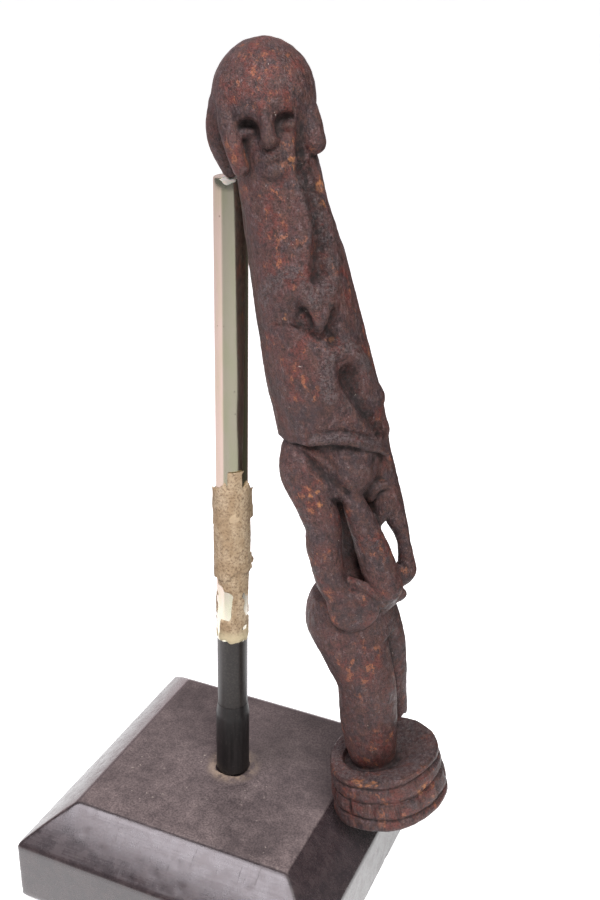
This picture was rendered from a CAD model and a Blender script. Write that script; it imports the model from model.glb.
"""A carved figure leaning on the rod of its display stand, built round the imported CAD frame."""
import bpy
import numpy as np
from mathutils import Matrix, Vector


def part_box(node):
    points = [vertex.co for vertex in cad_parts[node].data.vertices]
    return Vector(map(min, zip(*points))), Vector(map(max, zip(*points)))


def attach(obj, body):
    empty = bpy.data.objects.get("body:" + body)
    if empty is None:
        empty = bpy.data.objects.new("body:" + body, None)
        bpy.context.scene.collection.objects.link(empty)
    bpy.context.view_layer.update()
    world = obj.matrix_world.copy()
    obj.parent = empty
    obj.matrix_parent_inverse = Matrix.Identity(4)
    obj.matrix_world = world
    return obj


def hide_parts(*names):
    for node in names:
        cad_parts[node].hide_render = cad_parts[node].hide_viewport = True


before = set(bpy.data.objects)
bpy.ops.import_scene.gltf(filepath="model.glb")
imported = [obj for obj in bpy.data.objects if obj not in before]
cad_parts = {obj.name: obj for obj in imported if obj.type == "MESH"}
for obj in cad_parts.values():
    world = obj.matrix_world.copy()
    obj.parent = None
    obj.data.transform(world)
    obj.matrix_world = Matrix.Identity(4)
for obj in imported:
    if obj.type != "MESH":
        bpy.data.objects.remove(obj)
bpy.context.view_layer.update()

MM = 0.001


# ---------------------------------------------------------------- the frame, in millimetres
def mm_box(node):
    """Lowest and highest corners of a CAD node."""
    low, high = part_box(node)
    return np.array(low) / MM, np.array(high) / MM


BLOCK_LOW, BLOCK_HIGH = mm_box("base_block")
FELT_LOW, FELT_HIGH = mm_box("base_felt")
ROD_LOW, ROD_HIGH = mm_box("support_rod")
SLEEVE_LOW, SLEEVE_HIGH = mm_box("foot_sleeve")
TAPE_LOW, TAPE_HIGH = mm_box("tape_wrap")
GLUE_LOW, GLUE_HIGH = mm_box("head_adhesive")
FIGURE_LOW, FIGURE_HIGH = mm_box("carved_figure")

BLOCK_TOP = BLOCK_HIGH[2]
BLOCK_HALF = BLOCK_HIGH[0]
ROD_RADIUS = (ROD_HIGH[0] - ROD_LOW[0]) / 2
ROD_TOP = ROD_HIGH[2]

# the block's upper square and shoulder, as shares of its width and height
TOP_SHARE = 0.7175
SHOULDER_SHARE = 0.6355
TOP_HALF = TOP_SHARE * BLOCK_HALF
SHOULDER = BLOCK_LOW[2] + SHOULDER_SHARE * (BLOCK_TOP - BLOCK_LOW[2])
EDGE_ROUND = 0.6

# how the figure leans on the rod
LEAN = np.radians(11.55)
LEAN_HEADING = np.radians(-174.0)
FIGURE_TURN = np.radians(23.6)
CONTACT_GAP = 0.05


# ---------------------------------------------------------------- clay
def smooth_min(a, b, blend):
    """Least of two distances, rounded over where they meet."""
    share = np.clip(0.5 + 0.5 * (b - a) / blend, 0.0, 1.0)
    return b + (a - b) * share - blend * share * (1.0 - share)


class Clay:
    """A box of signed distances that shapes are pressed onto and cut from."""

    def __init__(self, low, high, step):
        self.low = np.array(low, float)
        self.step = step
        counts = np.ceil((np.array(high) - self.low) / step).astype(int) + 1
        self.field = np.full(counts, 6.0, np.float32)

    def window(self, low, high):
        """The part of the box between two corners, and its coordinates."""
        first = np.floor((np.array(low) - self.low) / self.step).astype(int)
        last = np.ceil((np.array(high) - self.low) / self.step).astype(int) + 1
        first = np.clip(first, 0, self.field.shape)
        last = np.clip(last, 0, self.field.shape)
        part = tuple(slice(a, b) for a, b in zip(first, last))
        axes = [
            (self.low[i] + self.step * np.arange(first[i], last[i])).astype(np.float32)
            for i in range(3)
        ]
        return part, np.meshgrid(*axes, indexing="ij", sparse=True)

    def measured(self, shape, blend):
        """The part of the box a shape can change, and the shape's distances there."""
        low, high, distance = shape
        reach = blend + 3 * self.step
        part, (x, y, z) = self.window(np.array(low) - reach, np.array(high) + reach)
        return part, distance(x, y, z)

    def add(self, shape, blend):
        part, gaps = self.measured(shape, blend)
        self.field[part] = smooth_min(self.field[part], gaps, blend)

    def cut(self, shape, blend):
        part, gaps = self.measured(shape, blend)
        self.field[part] = -smooth_min(-self.field[part], gaps, blend)

    def swell(self, low, high, amount):
        """Push the surface out by amount(x, y, z) inside a window."""
        part, (x, y, z) = self.window(low, high)
        self.field[part] -= amount(x, y, z)


def egg(centre, radii, turn=0.0, tilt=0.0):
    """Ellipsoid; turn spins it about the vertical, tilt leans its top along its own x."""
    cx, cy, cz = centre
    a, b, c = radii
    ct, st = np.cos(np.radians(turn)), np.sin(np.radians(turn))
    cl, sl = np.cos(np.radians(tilt)), np.sin(np.radians(tilt))
    reach = max(radii)

    def distance(x, y, z):
        u = (x - cx) * ct + (y - cy) * st
        v = -(x - cx) * st + (y - cy) * ct
        w = z - cz
        u, w = u * cl - w * sl, u * sl + w * cl
        k0 = np.sqrt((u / a) ** 2 + (v / b) ** 2 + (w / c) ** 2)
        k1 = np.sqrt((u / a**2) ** 2 + (v / b**2) ** 2 + (w / c**2) ** 2)
        return k0 * (k0 - 1.0) / np.maximum(k1, 1e-4)

    low = (cx - reach, cy - reach, cz - reach)
    high = (cx + reach, cy + reach, cz + reach)
    return low, high, distance


def curve_points(stations, per_span):
    """Catmull-Rom points through rows of numbers."""
    rows = np.array(stations, float)
    rows = np.vstack([2 * rows[0] - rows[1], rows, 2 * rows[-1] - rows[-2]])
    out = []
    for i in range(1, len(rows) - 2):
        p0, p1, p2, p3 = rows[i - 1 : i + 3]
        for t in np.arange(per_span) / per_span:
            out.append(
                0.5 * (2 * p1 + (p2 - p0) * t + (2 * p0 - 5 * p1 + 4 * p2 - p3) * t**2
                + (3 * p1 - p0 - 3 * p2 + p3) * t**3)
            )
    out.append(rows[-2])
    return np.array(out)


def limb(stations, per_span=4):
    """Rounded solid along a smooth path; a station is (x, y, z, radius)."""
    path = curve_points(stations, per_span)
    wide = path[:, 3:].max()
    low = path[:, :3].min(0) - wide
    high = path[:, :3].max(0) + wide

    def distance(x, y, z):
        best = None
        for start, end in zip(path[:-1], path[1:]):
            along = end[:3] - start[:3]
            length2 = float(along @ along) + 1e-9
            dot = (x - start[0]) * along[0] + (y - start[1]) * along[1] + (z - start[2]) * along[2]
            t = np.clip(dot / length2, 0.0, 1.0)
            dx = x - start[0] - t * along[0]
            dy = y - start[1] - t * along[1]
            dz = z - start[2] - t * along[2]
            gap = np.sqrt(dx * dx + dy * dy + dz * dz) - (start[3] + t * (end[3] - start[3]))
            best = gap if best is None else np.minimum(best, gap)
        return best

    return low, high, distance


def joined(first, second, blend):
    """Two shapes melted into one."""
    low = np.minimum(first[0], second[0])
    high = np.maximum(first[1], second[1])

    def distance(x, y, z):
        return smooth_min(first[2](x, y, z), second[2](x, y, z), blend)

    return low, high, distance


def column(stations):
    """Upright solid through level ovals; a station is (x, y, z, x radius, y radius)."""
    rows = curve_points(stations, 6)
    heights = rows[:, 2]
    low = (rows[:, 0] - rows[:, 3]).min(), (rows[:, 1] - rows[:, 4]).min(), heights[0]
    high = (rows[:, 0] + rows[:, 3]).max(), (rows[:, 1] + rows[:, 4]).max(), heights[-1]

    def distance(x, y, z):
        cx, cy, rx, ry = (np.interp(z, heights, rows[:, i]).astype(np.float32) for i in (0, 1, 3, 4))
        u = np.abs(x - cx) / rx
        v = np.abs(y - cy) / ry
        side = (np.sqrt(u**2 + v**2) - 1.0) * np.minimum(rx, ry)
        ends = np.maximum(heights[0] - z, z - heights[-1])
        return np.maximum(side, ends)

    return low, high, distance


# ---------------------------------------------------------------- noise
def lattice(ix, iy, iz, seed):
    """Repeatable random number in 0..1 for each whole-number point."""
    h = (ix * 374761393 + iy * 668265263 + iz * 1442695041 + seed * 97531) & 0xFFFFFFFF
    h = ((h ^ (h >> 13)) * 1274126177) & 0xFFFFFFFF
    h = (h ^ (h >> 16)) & 0xFFFFFF
    return h / float(0xFFFFFF)


def noise(points, size, seed):
    """Smooth noise in -1..1 at points; size is the width of a blob, per axis or one number."""
    scaled = points / np.array(size, float)
    base = np.floor(scaled).astype(np.int64)
    part = scaled - base
    part = part * part * (3.0 - 2.0 * part)
    total = np.zeros(len(points))
    for dx in (0, 1):
        for dy in (0, 1):
            for dz in (0, 1):
                weight = (
                    np.abs(1 - dx - part[:, 0]) * np.abs(1 - dy - part[:, 1]) * np.abs(1 - dz - part[:, 2])
                )
                total += weight * lattice(base[:, 0] + dx, base[:, 1] + dy, base[:, 2] + dz, seed)
    return total * 2.0 - 1.0


# ---------------------------------------------------------------- surface
CORNERS = np.array([(i, j, k) for i in (0, 1) for j in (0, 1) for k in (0, 1)])


def surface_of(clay):
    """Four-sided faces over the zero level of the clay, one point per crossed cell."""
    field = clay.field
    inside = field < 0
    cells = np.zeros(np.array(field.shape) - 1, np.uint8)
    for i, j, k in CORNERS:
        nx, ny, nz = cells.shape
        cells += inside[i : i + nx, j : j + ny, k : k + nz]
    crossed = np.argwhere((cells > 0) & (cells < 8))
    values = np.stack([field[tuple((crossed + c).T)] for c in CORNERS], 1)
    total = np.zeros((len(crossed), 3))
    count = np.zeros(len(crossed))
    for a in range(8):
        for b in range(a + 1, 8):
            if np.abs(CORNERS[a] - CORNERS[b]).sum() != 1:
                continue
            va, vb = values[:, a], values[:, b]
            hit = (va < 0) != (vb < 0)
            t = np.where(hit, va / np.where(hit, va - vb, 1.0), 0.0)
            spot = CORNERS[a] + t[:, None] * (CORNERS[b] - CORNERS[a])
            total += spot * hit[:, None]
            count += hit
    points = clay.low + clay.step * (crossed + total / count[:, None])
    number = np.full(cells.shape, -1, np.int32)
    number[tuple(crossed.T)] = np.arange(len(crossed))
    faces = []
    for axis in range(3):
        step = np.eye(3, dtype=int)[axis]
        u, v = np.eye(3, dtype=int)[(axis + 1) % 3], np.eye(3, dtype=int)[(axis + 2) % 3]
        near = inside[: field.shape[0] - step[0], : field.shape[1] - step[1], : field.shape[2] - step[2]]
        far = inside[step[0] :, step[1] :, step[2] :]
        spots = np.argwhere(near != far)
        keep = np.all((spots - u - v) >= 0, 1) & np.all(spots < np.array(cells.shape), 1)
        spots = spots[keep]
        corners = [number[tuple((spots + o).T)] for o in (0 * u, -u, -u - v, -v)]
        quads = np.stack(corners, 1)
        flip = ~near[tuple(spots.T)]
        quads[flip] = quads[flip][:, ::-1]
        faces.append(quads)
    return points, np.vstack(faces)


def edges_of(faces):
    """Each pair of neighbouring points once."""
    pairs = np.vstack([faces[:, [i, (i + 1) % 4]] for i in range(4)])
    return np.unique(np.sort(pairs, 1), axis=0)


def relaxed(points, edges, rounds):
    """Points after being pulled to the mean of their neighbours a few times."""
    count = np.bincount(edges.ravel(), minlength=len(points))[:, None]
    for _ in range(rounds):
        total = np.stack(
            [
                np.bincount(edges[:, 0], points[edges[:, 1], i], len(points))
                + np.bincount(edges[:, 1], points[edges[:, 0], i], len(points))
                for i in range(3)
            ],
            1,
        )
        points = 0.5 * points + 0.5 * total / count
    return points


def normals_of(points, faces):
    """Outward direction at each point."""
    across = points[faces[:, 2]] - points[faces[:, 0]]
    up = points[faces[:, 3]] - points[faces[:, 1]]
    flat = np.cross(across, up)
    sums = [sum(np.bincount(faces[:, c], flat[:, i], len(points)) for c in range(4)) for i in range(3)]
    total = np.stack(sums, 1)
    return total / np.maximum(np.linalg.norm(total, axis=1, keepdims=True), 1e-9)


# ---------------------------------------------------------------- figure
# In its own upright frame: x to the figure's left, -y to where the finial face looks, z up its axis.
PED_X = 0.5
PED_FOOT = 12.0
PED_RIM = 11.2
PED_TOP = 12.0
PED_CORNER = 0.7
PED_LOW_XY = (-13.0, -13.4)
PED_HIGH_XY = (14.0, 13.4)
GROOVES = (3.0, 7.0, 10.2)
GROOVE_DEPTHS = (0.62, 0.55, 0.6)
GROOVE_PHASES = (0.3, 1.7, 3.0)
OVALS = 14
OVAL_PHASE = np.radians(-108.7)
FACE_MIDDLE = -0.4
EYE_OFFSET = 3.5


def pedestal_radius(z):
    return PED_FOOT + (PED_RIM - PED_FOOT) * z / PED_TOP


def pedestal_reach(x, y):
    return np.sqrt((x - PED_X) ** 2 + y**2)


def pedestal_wall(x, y, z):
    """Radius of the pedestal's uneven wall at a point, and the point's bearing."""
    around = np.arctan2(y, x - PED_X)
    wobble = 0.16 * np.sin(2 * around + 0.8) + 0.12 * np.sin(5 * around + 2.0)
    return pedestal_radius(z) + wobble, around


def pedestal_shape():
    """Uneven disc with rounded corners and one side pared flat."""

    def distance(x, y, z):
        side = pedestal_reach(x, y) - pedestal_wall(x, y, z)[0]
        facet = (x - PED_X) * -0.53 + y * -0.848 - 11.2 - 0.08 * (PED_TOP - z)
        side = np.maximum(side, facet)
        top = z - PED_TOP - 0.03 * x - 0.05 * np.maximum(y, 0.0)
        under = 0.45 + 0.04 * x - z
        ends = np.maximum(top, under)
        past_side = np.maximum(side + PED_CORNER, 0.0)
        past_ends = np.maximum(ends + PED_CORNER, 0.0)
        corner = np.sqrt(past_side * past_side + past_ends * past_ends) - PED_CORNER
        return np.maximum(np.maximum(side, ends), corner)

    return (-12.4, -13.0, -0.6), (13.6, 13.0, 12.4), distance


def groove_ring(height, depth, phase):
    """Wavering groove round the pedestal."""

    def distance(x, y, z):
        wall, around = pedestal_wall(x, y, z)
        level = height + 0.22 * np.sin(2 * around + phase) + 0.12 * np.sin(5 * around + 2 * phase)
        out = pedestal_reach(x, y) - wall
        return np.sqrt((out - 0.1) ** 2 + ((z - level) * 1.2) ** 2) - depth

    return (*PED_LOW_XY, height - 1.5), (*PED_HIGH_XY, height + 1.5), distance


def oval_swelling(x, y, z):
    """How far the ovals between the two lower grooves stand out."""
    low, high = GROOVES[:2]
    wall, around = pedestal_wall(x, y, z)
    across = np.abs(np.sin((around - OVAL_PHASE) * OVALS / 2)) ** 0.5
    up = np.clip(1 - ((z - (low + high) / 2) / ((high - low) / 2)) ** 2, 0, 1) ** 0.5
    near = np.clip(1 - np.abs(pedestal_reach(x, y) - wall) / 1.5, 0, 1)
    return 0.35 * (across * up - 0.35) * near * (up > 0)


def pedestal(clay):
    clay.add(pedestal_shape(), 0.01)
    low, high = GROOVES[:2]
    clay.swell((*PED_LOW_XY, low), (*PED_HIGH_XY, high), oval_swelling)
    for groove in zip(GROOVES, GROOVE_DEPTHS, GROOVE_PHASES):
        clay.cut(groove_ring(*groove), 0.25)
    for i in range(OVALS):
        bearing = OVAL_PHASE + i * 2 * np.pi / OVALS
        gap = []
        for z in (low + 0.5, (low + high) / 2, high - 0.4):
            wall = pedestal_radius(z)
            gap.append((PED_X + wall * np.cos(bearing), wall * np.sin(bearing), z, 0.42))
        clay.cut(limb(gap, 1), 0.25)
    # dished top
    clay.cut(egg((0.6, 0.2, 13.4), (9.3, 8.9, 2.7)), 0.5)
    clay.cut(egg((-1.2, -0.6, 11.4), (6.6, 6.0, 1.9)), 0.5)


def near_leg(clay):
    clay.add(column([
        (-1.6, -0.4, 8.5, 4.3, 3.6),
        (-1.6, -0.5, 11.0, 4.6, 3.9),
        (-1.5, -0.9, 14.0, 5.1, 4.5),
        (-1.3, -1.3, 18.0, 5.5, 4.7),
        (-0.9, -1.7, 24.0, 5.9, 5.2),
        (-0.3, -2.1, 30.0, 5.8, 5.5),
        (-1.2, -2.1, 36.5, 6.5, 5.8),
        (-2.5, -1.0, 43.0, 7.2, 6.0),
        (-1.6, -0.4, 50.0, 6.2, 5.6),
    ]), 1.0)


def snapped_off(x, y, z):
    """Splintered break under the far leg."""
    under = z - 17.1 - 0.25 * (x - 3.8) - 0.25 * np.sin(2.3 * x + 1.0) - 0.2 * np.sin(3.1 * y)
    return np.maximum(np.maximum(under, 12.9 - z), 2.2 - x - 0.3 * y)


def far_leg(clay):
    clay.add(limb([
        (3.7, 4.4, 15.6, 2.9),
        (4.1, 4.4, 22.0, 3.1),
        (4.7, 4.2, 31.0, 3.7),
        (4.7, 3.6, 38.0, 4.0),
        (2.8, 2.4, 46.0, 4.6),
    ]), 0.6)
    clay.cut(((1.5, 0.5, 12.8), (8.5, 9.0, 18.4), snapped_off), 0.2)


def body(clay):
    """Hips, waist, shoulders and the bulges of the belly."""
    clay.add(column([
        (0.0, 0.6, 40.0, 6.8, 6.4),
        (0.4, 0.4, 46.0, 7.0, 6.6),
        (1.8, 1.0, 53.0, 5.6, 4.6),
        (3.0, 1.4, 60.0, 4.4, 3.6),
        (2.8, 1.2, 67.0, 5.2, 4.0),
        (1.6, 0.4, 74.0, 8.4, 7.0),
        (1.6, 0.2, 84.0, 9.0, 8.2),
    ]), 1.5)
    clay.add(egg((-4.0, 2.4, 43.0), (6.3, 6.0, 8.6)), 1.3)
    # near shoulder, level with the shield
    clay.add(egg((-3.0, -3.6, 77.0), (4.9, 5.2, 8.0), 0, -8), 0.7)
    clay.add(egg((2.4, -3.2, 74.0), (4.6, 4.6, 4.4)), 0.6)
    clay.add(limb([
        (2.4, -5.4, 74, 1.5), (3.6, -5.4, 68.5, 2.3), (4.9, -4.9, 62, 3.0),
        (5.8, -4.7, 56, 3.4), (6.4, -4.8, 52.5, 3.3),
    ]), 0.35)
    clay.add(egg((6.6, -4.6, 52.2), (3.3, 3.5, 4.4)), 0.5)
    clay.add(egg((5.6, -3.0, 48.8), (3.0, 3.0, 3.2)), 0.6)
    clay.add(egg((8.9, -2.6, 48.3), (1.45, 1.4, 1.3)), 0.4)
    clay.add(egg((7.4, -2.8, 48.4), (1.9, 1.7, 1.7)), 0.5)


def chest_recess(clay):
    clay.cut(limb([
        (0.2, -6.4, 68.4, 0.5), (0.3, -6.0, 64.0, 0.9), (0.7, -5.4, 58.0, 1.2), (1.6, -5.2, 53.6, 1.0),
    ]), 0.4)


def near_arm(clay):
    arm = limb([
        (-4.9, -3.4, 81.0, 3.6),
        (-5.1, -4.2, 77.0, 4.2),
        (-3.8, -4.9, 71.0, 3.75),
        (-3.1, -5.4, 66.5, 3.4),
        (-3.5, -5.7, 63.0, 3.45),
        (-3.6, -5.8, 59.5, 3.05),
        (-3.3, -6.0, 55.0, 2.9),
        (-2.4, -6.1, 51.5, 2.7),
    ])
    hand = egg((0.1, -6.9, 48.9), (5.1, 1.7, 4.7), 10, -6)
    clay.add(joined(arm, hand, 1.3), 0.12)
    # line that parts the hand from the thigh, and the fold above it
    clay.cut(limb([
        (-3.6, -6.6, 46.2, 0.4), (-1.0, -7.8, 43.7, 0.45), (2.4, -7.6, 43.8, 0.45), (4.9, -6.4, 46.4, 0.4),
    ]), 0.3)
    clay.add(limb([
        (-0.4, -6.0, 54.6, 0.8), (2.6, -7.0, 53.2, 0.85), (4.8, -6.9, 50.6, 0.8), (5.6, -6.0, 48.0, 0.6),
    ]), 0.2)
    clay.cut(limb([(0.2, -7.6, 53.2, 0.3), (2.8, -8.0, 51.9, 0.35), (4.8, -7.4, 49.2, 0.35)]), 0.2)


def far_arm(clay):
    clay.add(limb([
        (7.9, 1.0, 77.0, 3.7),
        (9.2, -0.4, 69.0, 3.1),
        (10.3, -0.6, 64.5, 2.2),
        (11.2, -0.2, 60.0, 1.45),
        (11.35, 0.0, 56.0, 1.45),
        (11.2, 0.2, 51.8, 1.8),
    ]), 0.5)
    clay.add(egg((8.6, -0.4, 51.2), (3.8, 2.1, 2.5)), 0.6)
    clay.add(limb([(9.2, -1.6, 68.4, 2.6), (7.6, -1.8, 65.6, 2.0), (5.8, -1.6, 63.8, 2.0)]), 0.5)
    clay.add(limb([
        (6.4, -3.4, 69.4, 0.8), (7.8, -3.8, 71.4, 0.9), (9.8, -3.2, 71.4, 0.9), (11.2, -1.8, 69.0, 0.8),
    ]), 0.4)
    clay.cut(limb([(6.4, -4.4, 66.9, 0.4), (8.2, -4.4, 66.7, 0.45), (10.0, -4.0, 66.3, 0.3)], 2), 0.15)
    clay.cut(limb([(6.8, -4.4, 67.9, 0.25), (8.6, -4.4, 68.2, 0.25)], 2), 0.15)


HEADDRESS = (
    (1.6, 0.0, 74.0, 9.9, 9.3),
    (1.6, 0.0, 80.0, 10.05, 9.4),
    (1.5, 0.0, 87.0, 10.1, 9.5),
    (1.0, 0.0, 95.0, 9.9, 9.4),
    (0.7, 0.0, 104.0, 9.3, 8.9),
    (0.4, 0.0, 115.0, 8.5, 8.2),
    (0.0, 0.0, 124.0, 7.6, 7.4),
    (-0.2, 0.0, 134.0, 7.0, 6.8),
    (-0.3, 0.4, 139.0, 6.7, 6.0),
    (-0.4, 0.6, 143.0, 6.2, 5.2),
)
HEADDRESS_ROWS = curve_points(HEADDRESS, 6)


def on_headdress(x, z, out=0.0):
    """Level with (x, z) on the front of the headdress, moved outwards."""
    cx, cy, rx, ry = (np.interp(z, HEADDRESS_ROWS[:, 2], HEADDRESS_ROWS[:, i]) for i in (0, 1, 3, 4))
    across = np.clip((x - cx) / rx, -0.98, 0.98)
    y = cy - ry * np.sqrt(1 - across * across)
    nx, ny = (x - cx) / rx**2, (y - cy) / ry**2
    length = np.hypot(nx, ny)
    return x + out * nx / length, y + out * ny / length, z


def line_on(stations, out):
    """Rounded line over the front of the headdress; a station is (x, z, radius)."""
    return limb([(*on_headdress(x, z, out), radius) for x, z, radius in stations])


def above_brim(core):
    """A shape with all that lies under the sloping brim taken off."""
    low, high, within = core

    def distance(x, y, z):
        brim = 82.9 - 0.12 * x - 0.03 * np.maximum(x, 0.0) ** 2
        return np.maximum(within(x, y, z), brim - z)

    return low, high, distance


def headdress(clay):
    """Tall column with its brim, M-shaped band, channel and ringed hollow."""
    clay.add(above_brim(column(HEADDRESS)), 0.25)
    bead = (
        (-6.5, 84.2, 0.3), (-3.0, 83.9, 0.45), (0.0, 83.8, 0.6), (3.0, 83.4, 0.65),
        (6.0, 82.2, 0.65), (8.6, 80.4, 0.65), (10.6, 78.3, 0.7),
    )
    clay.add(line_on(bead, 0.0), 0.3)
    clay.cut(line_on(((-1.5, 85.4, 0.3), (2.0, 85.5, 0.45), (5.5, 84.4, 0.5), (9.0, 81.9, 0.45)), 0.1), 0.2)
    band = (
        (-3.9, 108.4, 2.4), (-2.7, 110.3, 2.9), (-0.5, 111.6, 3.2), (1.2, 111.2, 3.2), (2.2, 108.8, 3.0),
        (2.7, 106.0, 2.9), (4.1, 107.4, 2.8), (5.5, 109.4, 2.6), (6.8, 111.2, 2.2),
    )
    clay.add(line_on(band, -2.0), 0.4)
    notch = (
        (-3.4, 105.9, 0.4), (-1.7, 106.5, 0.7), (-0.4, 107.4, 0.85),
        (0.5, 107.8, 0.75), (1.0, 106.2, 0.8), (1.3, 104.8, 0.6),
    )
    clay.cut(line_on(notch, 0.25), 0.2)
    clay.cut(line_on(((-5.4, 105.8, 0.35), (-3.2, 105.5, 0.45), (-1.0, 105.0, 0.5)), 0.1), 0.2)
    undercut = ((1.0, 103.9, 0.6), (2.4, 102.4, 0.8), (3.8, 103.6, 0.7), (4.9, 105.8, 0.6))
    clay.cut(line_on(undercut, 0.25), 0.3)
    channel = ((4.0, 131.0, 1.3), (4.9, 126.0, 1.4), (5.4, 121.0, 1.6), (4.6, 116.5, 1.8), (3.6, 113.2, 1.6))
    clay.cut(line_on(channel, 0.7), 0.7)
    clay.cut(line_on(((5.2, 106.6, 0.6), (4.6, 103.4, 0.8), (3.9, 99.8, 0.7)), 0.25), 0.4)
    clay.add(line_on(((6.4, 129.5, 0.7), (7.0, 124.0, 0.8), (7.4, 118.0, 0.7)), -0.35), 0.6)
    ring = (
        (3.4, 90.6, 0.8), (2.6, 93.6, 1.1), (2.8, 96.8, 1.2), (3.9, 98.9, 1.2), (5.8, 99.3, 1.2),
        (7.9, 97.8, 1.2), (9.2, 95.0, 1.2), (9.9, 91.4, 1.2), (10.4, 88.6, 1.0),
    )
    swollen = [(x, z, radius + 0.7) for x, z, radius in ring]
    clay.add(line_on(swollen, -1.1), 0.7)
    clay.cut(egg(on_headdress(6.4, 94.2, 0.5), (2.3, 1.9, 2.9), 0, -8), 0.5)
    clay.cut(line_on(((6.6, 92.0, 1.5), (7.4, 88.6, 1.2), (8.6, 85.2, 1.0), (9.8, 81.8, 0.8)), 0.3), 0.4)
    clay.add(egg((10.4, -2.4, 88.6), (1.6, 2.2, 2.2)), 0.8)
    clay.add(egg((10.6, -2.0, 82.2), (1.3, 2.0, 1.8)), 0.8)


def shield(clay):
    """Plain bowed shield under the headdress, parted from the shoulder by a crease."""
    clay.add(egg((4.3, -4.3, 78.2), (5.0, 4.3, 6.6), 25), 0.4)
    clay.cut(limb([
        (-8.2, -4.4, 83.2, 0.7), (-6.4, -6.5, 82.6, 0.9), (-4.2, -8.0, 81.2, 1.1),
        (-1.9, -8.6, 78.6, 1.2), (0.2, -8.2, 75.4, 1.2), (2.2, -7.8, 72.6, 1.0),
    ]), 0.25)
    clay.cut(limb([(-1.6, -8.9, 82.4, 0.8), (2.0, -9.4, 82.6, 0.9), (6.0, -8.6, 80.6, 0.8)]), 0.3)
    clay.cut(limb([
        (4.4, -7.8, 71.4, 0.7), (6.6, -7.4, 72.2, 0.8), (8.4, -6.4, 74.6, 1.0), (8.9, -6.2, 77.6, 1.1),
    ]), 0.25)


def head(clay):
    """Domed finial head: face with closed lids in deep sockets, ridge nose, small mouth, round chin."""
    clay.add(egg((-0.35, 0.2, 143.0), (8.8, 8.5, 9.6), 0, 10), 0.9)
    clay.add(egg((FACE_MIDDLE, -3.8, 134.0), (4.6, 3.6, 4.8)), 0.8)
    for side in (-1, 1):
        eye = FACE_MIDDLE + EYE_OFFSET * side
        clay.cut(egg((eye, -8.4, 138.5), (2.5, 3.4, 2.3), 0, 8 * side), 0.4)
        clay.cut(egg((eye + 0.7 * side, -7.8, 135.6), (1.5, 1.7, 2.8)), 0.6)
        clay.add(egg((eye, -5.2, 138.1), (1.9, 1.0, 0.95)), 0.25)
        lid_line = [(eye - 1.5, -6.0, 137.8, 0.2), (eye, -6.3, 137.5, 0.25), (eye + 1.5, -6.0, 137.8, 0.2)]
        clay.cut(limb(lid_line, 2), 0.1)
    nose = ((-7.6, 141.8, 1.3), (-7.8, 139.0, 1.15), (-8.0, 136.6, 1.3))
    clay.add(limb([(FACE_MIDDLE, *station) for station in nose]), 0.5)
    clay.add(egg((FACE_MIDDLE, -7.4, 136.2), (1.8, 1.1, 0.9)), 0.4)
    clay.add(egg((FACE_MIDDLE, -6.9, 133.8), (1.9, 1.0, 1.0)), 0.4)
    mouth_line = [(-2.0, -7.5, 133.9, 0.22), (FACE_MIDDLE, -8.1, 133.7, 0.28), (1.2, -7.5, 133.9, 0.22)]
    clay.cut(limb(mouth_line, 2), 0.15)
    clay.add(egg((FACE_MIDDLE, -6.7, 131.4), (2.0, 1.3, 1.4)), 0.4)
    under_chin = [(-2.2, -7.6, 129.8, 0.4), (FACE_MIDDLE, -8.0, 129.4, 0.5), (1.6, -7.6, 129.8, 0.4)]
    clay.cut(limb(under_chin, 2), 0.3)
    # recesses beside the cheeks
    clay.cut(limb([(5.0, -6.2, 137.0, 1.3), (4.7, -6.6, 133.0, 1.4), (4.2, -7.1, 129.0, 1.2)]), 0.4)
    clay.cut(limb([(-4.4, -7.2, 137.0, 1.1), (-4.4, -7.0, 134.0, 1.1), (-4.4, -7.0, 131.0, 0.7)]), 0.3)
    # hanging lobes and the lines between them
    clay.add(limb([
        (-6.4, -4.4, 143.0, 1.7), (-6.7, -5.1, 140.0, 1.7),
        (-6.4, -5.8, 136.6, 1.6), (-6.0, -5.8, 132.6, 1.35),
    ]), 0.35)
    clay.add(limb([
        (-7.2, -0.2, 143.5, 2.4), (-8.8, 0.2, 139.0, 2.4), (-8.8, 1.2, 135.4, 2.1), (-8.2, 2.2, 132.4, 1.8),
    ]), 0.3)
    clay.cut(limb([(-8.1, -4.0, 141.0, 0.5), (-8.1, -3.8, 137.0, 0.6), (-7.6, -3.4, 133.0, 0.5)]), 0.2)
    clay.add(limb([
        (4.6, -1.4, 144.6, 2.8), (6.1, -2.2, 139.6, 2.3), (6.7, -2.8, 135.6, 2.1), (6.7, -2.9, 134.6, 2.1),
    ]), 0.3)
    clay.cut(limb([(6.0, -6.2, 140.6, 0.9), (5.0, -5.6, 137.0, 1.1), (4.5, -5.2, 133.0, 1.2)]), 0.25)


# ---------------------------------------------------------------- the carving as a mesh
CLAY_LOW = (-14.0, -14.5, -1.5)
CLAY_HIGH = (15.5, 14.0, 154.5)
CLAY_STEP = 0.3


def turned(axis, angle):
    return np.array(Matrix.Rotation(angle, 3, axis))


LEANING = turned("Z", LEAN_HEADING) @ turned("Y", LEAN) @ turned("Z", FIGURE_TURN - LEAN_HEADING)


def soft_step(values, low, high):
    """0 below low, 1 above high, smooth between."""
    share = np.clip((values - low) / (high - low), 0.0, 1.0)
    return share * share * (3.0 - 2.0 * share)


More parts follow.
